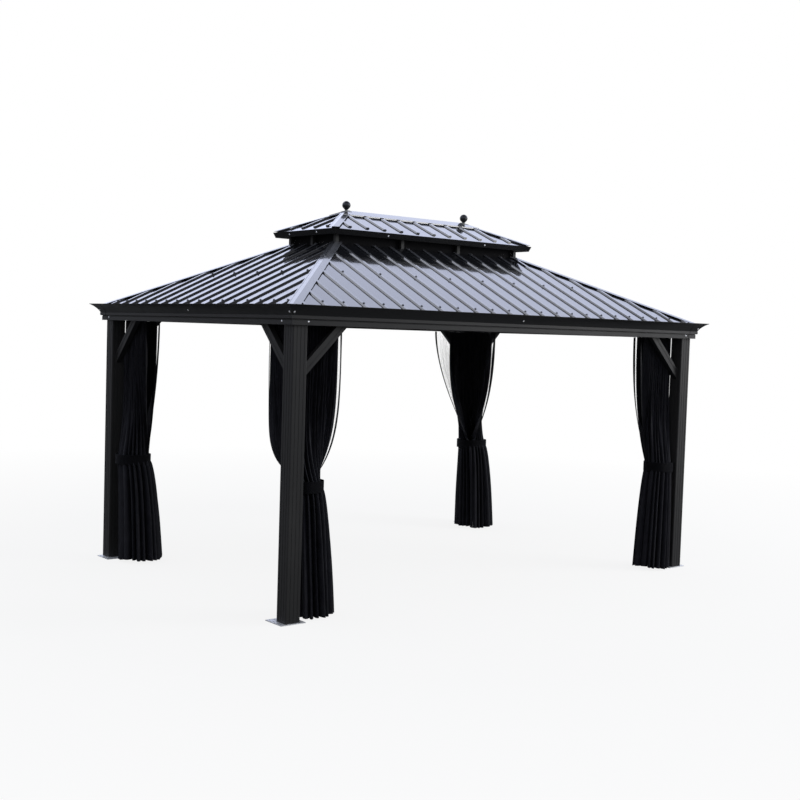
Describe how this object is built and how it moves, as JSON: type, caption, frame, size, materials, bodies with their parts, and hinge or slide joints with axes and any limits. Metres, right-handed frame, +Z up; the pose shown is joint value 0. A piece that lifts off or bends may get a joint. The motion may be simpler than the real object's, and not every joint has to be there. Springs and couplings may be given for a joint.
{
  "type": "metal gazebo",
  "caption": "Open garden gazebo on square posts with knee braces, a gutter beam cornice, a ribbed hipped double roof with a vent, ball finials and tied-back curtains.",
  "frame": {"origin": "middle of the footprint, on the ground under the base plates", "axes": "+X along the long side, +Y to the back along the short side, +Z up; the front faces -Y"},
  "size_m": [4.31, 3.04, 3.0094],
  "materials": {
    "frame_coat": "satin charcoal powder coat on aluminium extrusions",
    "roof_sheet": "semi-gloss charcoal paint on ribbed galvanised steel sheet",
    "roof_trim": "semi-gloss charcoal paint on folded steel caps and trims",
    "galvanised_plate": "bare galvanised steel base plates",
    "curtain_cloth": "black polyester curtains with a fine mesh insect net"
  },
  "bodies": {
    "root": {"front_left_base_plate": "galvanised_plate", "front_right_base_plate": "galvanised_plate", "back_right_base_plate": "galvanised_plate", "back_left_base_plate": "galvanised_plate", "front_left_post": "frame_coat", "front_right_post": "frame_coat", "back_right_post": "frame_coat", "back_left_post": "frame_coat", "front_beam": "frame_coat", "right_beam": "frame_coat", "back_beam": "frame_coat", "left_beam": "frame_coat", "beam_splices": "frame_coat", "corner_covers": "frame_coat", "front_left_knee_braces": "frame_coat", "front_right_knee_braces": "frame_coat", "back_right_knee_braces": "frame_coat", "back_left_knee_braces": "frame_coat", "curtain_rails": "frame_coat", "hip_rafters": "frame_coat", "long_side_rafters": "frame_coat", "short_side_rafters": "frame_coat", "purlins": "frame_coat", "front_roof": "roof_sheet", "right_roof": "roof_sheet", "back_roof": "roof_sheet", "left_roof": "roof_sheet", "hip_caps": "roof_trim", "vent_sill": "frame_coat", "vent_posts": "frame_coat", "vent_head": "frame_coat", "ridge_beam": "frame_coat", "upper_hip_rafters": "frame_coat", "upper_front_roof": "roof_sheet", "upper_right_roof": "roof_sheet", "upper_back_roof": "roof_sheet", "upper_left_roof": "roof_sheet", "upper_eave_trims": "roof_trim", "upper_hip_caps": "roof_trim", "ridge_cap": "roof_trim", "finials": "frame_coat", "front_left_curtain": "curtain_cloth", "front_right_curtain": "curtain_cloth", "back_right_curtain": "curtain_cloth", "back_left_curtain": "curtain_cloth"}
  },
  "joints": []
}
